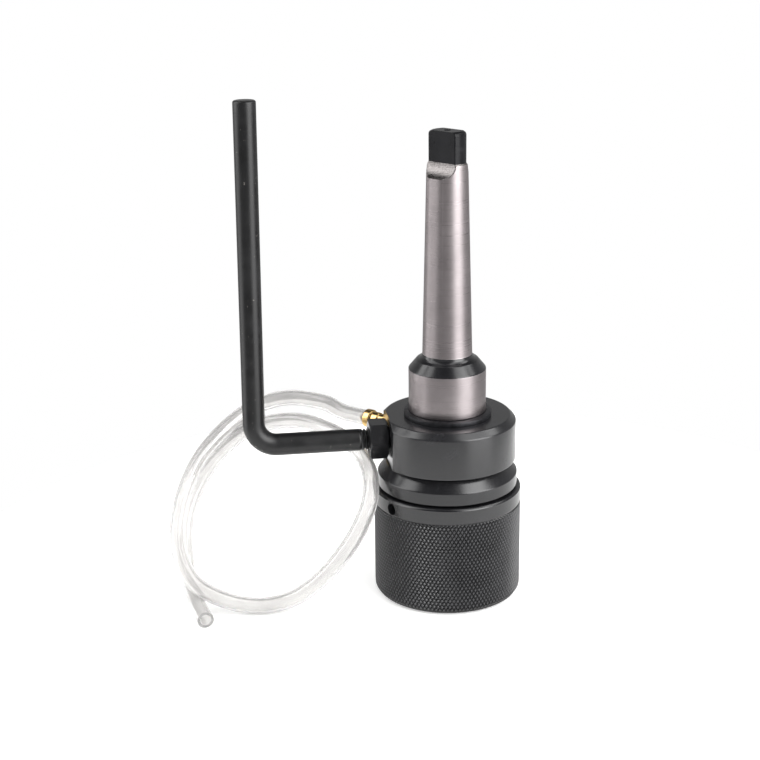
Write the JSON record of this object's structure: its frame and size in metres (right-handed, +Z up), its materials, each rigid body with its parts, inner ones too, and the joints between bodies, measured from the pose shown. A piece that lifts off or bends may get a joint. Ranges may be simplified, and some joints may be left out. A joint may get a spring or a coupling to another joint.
{
  "type": "annular cutter chuck",
  "caption": "Quick-change chuck for annular cutters: tapered tang shank, coolant ring with bent torque arm, brass fitting and clear hose, and a knurled release sleeve.",
  "frame": {"origin": "bottom centre of the box of the chuck and its torque arm, on the surface that the chuck stands on", "axes": "+Z up along the chuck's axis from the nose to the tang; the torque arm runs along -X from the coolant ring"},
  "size_m": [0.13, 0.0723, 0.1838],
  "materials": {
    "ground_steel": "cylindrically ground hardened steel",
    "black_oxide_steel": "turned steel with a satin black oxide finish",
    "spring_steel": "phosphated spring steel",
    "bearing_steel": "polished hardened bearing steel",
    "brass": "bright turned brass",
    "nitrile_rubber": "moulded nitrile rubber",
    "nylon": "black nylon sheet",
    "clear_pvc": "clear extruded PVC tube"
  },
  "bodies": {
    "arbor": {"arbor_body": "ground_steel", "journal_circlip": "spring_steel", "nose_circlip": "spring_steel", "seat_circlip": "spring_steel", "thrust_washer": "nylon", "valve_seat": "brass", "sleeve_spring": "spring_steel", "valve_spring": "spring_steel"},
    "coolant_ring": {"coolant_ring": "black_oxide_steel", "lower_ring_seal": "nitrile_rubber", "upper_ring_seal": "nitrile_rubber", "torque_arm": "black_oxide_steel", "arm_lock_nut": "black_oxide_steel", "hose_barb": "brass", "coolant_hose": "clear_pvc"},
    "release_sleeve": {"release_sleeve": "black_oxide_steel", "lock_cam_ring": "bearing_steel", "guide_screw_front": "black_oxide_steel", "guide_screw_rear": "black_oxide_steel"},
    "lock_ball_front": {"lock_ball_front": "bearing_steel"},
    "lock_ball_side": {"lock_ball_side": "bearing_steel"},
    "valve_plunger": {"valve_plunger": "ground_steel", "valve_seal": "nitrile_rubber"}
  },
  "joints": [
    {"name": "ring_swivel", "type": "hinge", "parent": "arbor", "child": "coolant_ring", "pos_m": [0.02372, 0, 0.06], "axis": [0, 0, 1], "continuous": true},
    {"name": "sleeve_twist", "type": "hinge", "parent": "arbor", "child": "release_sleeve", "pos_m": [0.02372, 0, 0.02], "axis": [0, 0, 1], "range_deg": [0, 35], "stiffness_Nm_per_rad": 0.5, "springref_deg": -17.19, "deforming": ["sleeve_spring"]},
    {"name": "front_ball_slide", "type": "slide", "parent": "arbor", "child": "lock_ball_front", "axis": [0, -1, 0], "range_m": [0, 0.00141]},
    {"name": "side_ball_slide", "type": "slide", "parent": "arbor", "child": "lock_ball_side", "axis": [1, 0, 0], "range_m": [0, 0.00141]},
    {"name": "valve_lift", "type": "slide", "parent": "arbor", "child": "valve_plunger", "axis": [0, 0, 1], "range_m": [0, 0.008], "stiffness_N_per_m": 600, "springref_m": -0.004, "deforming": ["valve_spring"]}
  ],
  "couplings": [
    {"joint": "front_ball_slide", "follows": "sleeve_twist", "m_per_rad": 0.0022918},
    {"joint": "side_ball_slide", "follows": "sleeve_twist", "m_per_rad": 0.0022918}
  ]
}
